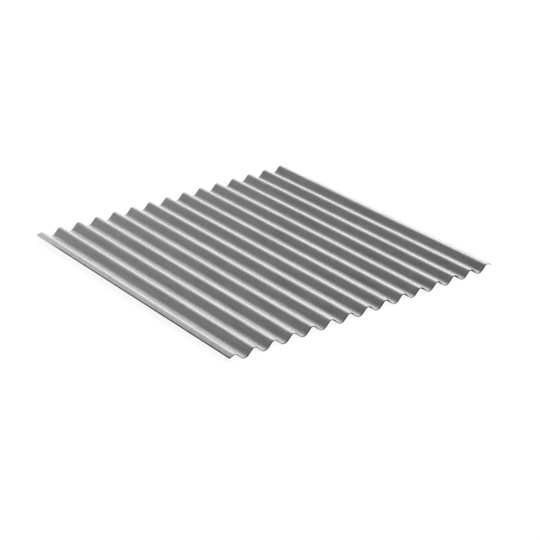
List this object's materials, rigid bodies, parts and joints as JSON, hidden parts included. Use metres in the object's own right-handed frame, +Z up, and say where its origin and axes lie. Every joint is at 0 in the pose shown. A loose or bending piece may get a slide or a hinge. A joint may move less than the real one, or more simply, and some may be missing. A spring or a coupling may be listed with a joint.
{
  "type": "corrugated metal sheet",
  "caption": "Bare galvanised steel sheet roll-formed into round corrugations, for roofing, cladding and fencing.",
  "frame": {"origin": "on the plane that the valleys rest on, midway between the two long edges and midway between the two cut ends", "axes": "+X across the corrugations, +Y along the corrugations, +Z up out of the crests"},
  "size_m": [0.9856, 0.994, 0.0222],
  "materials": {
    "galvanised_steel": "satin"
  },
  "bodies": {
    "root": {"corrugated_sheet": "galvanised_steel"}
  },
  "joints": []
}
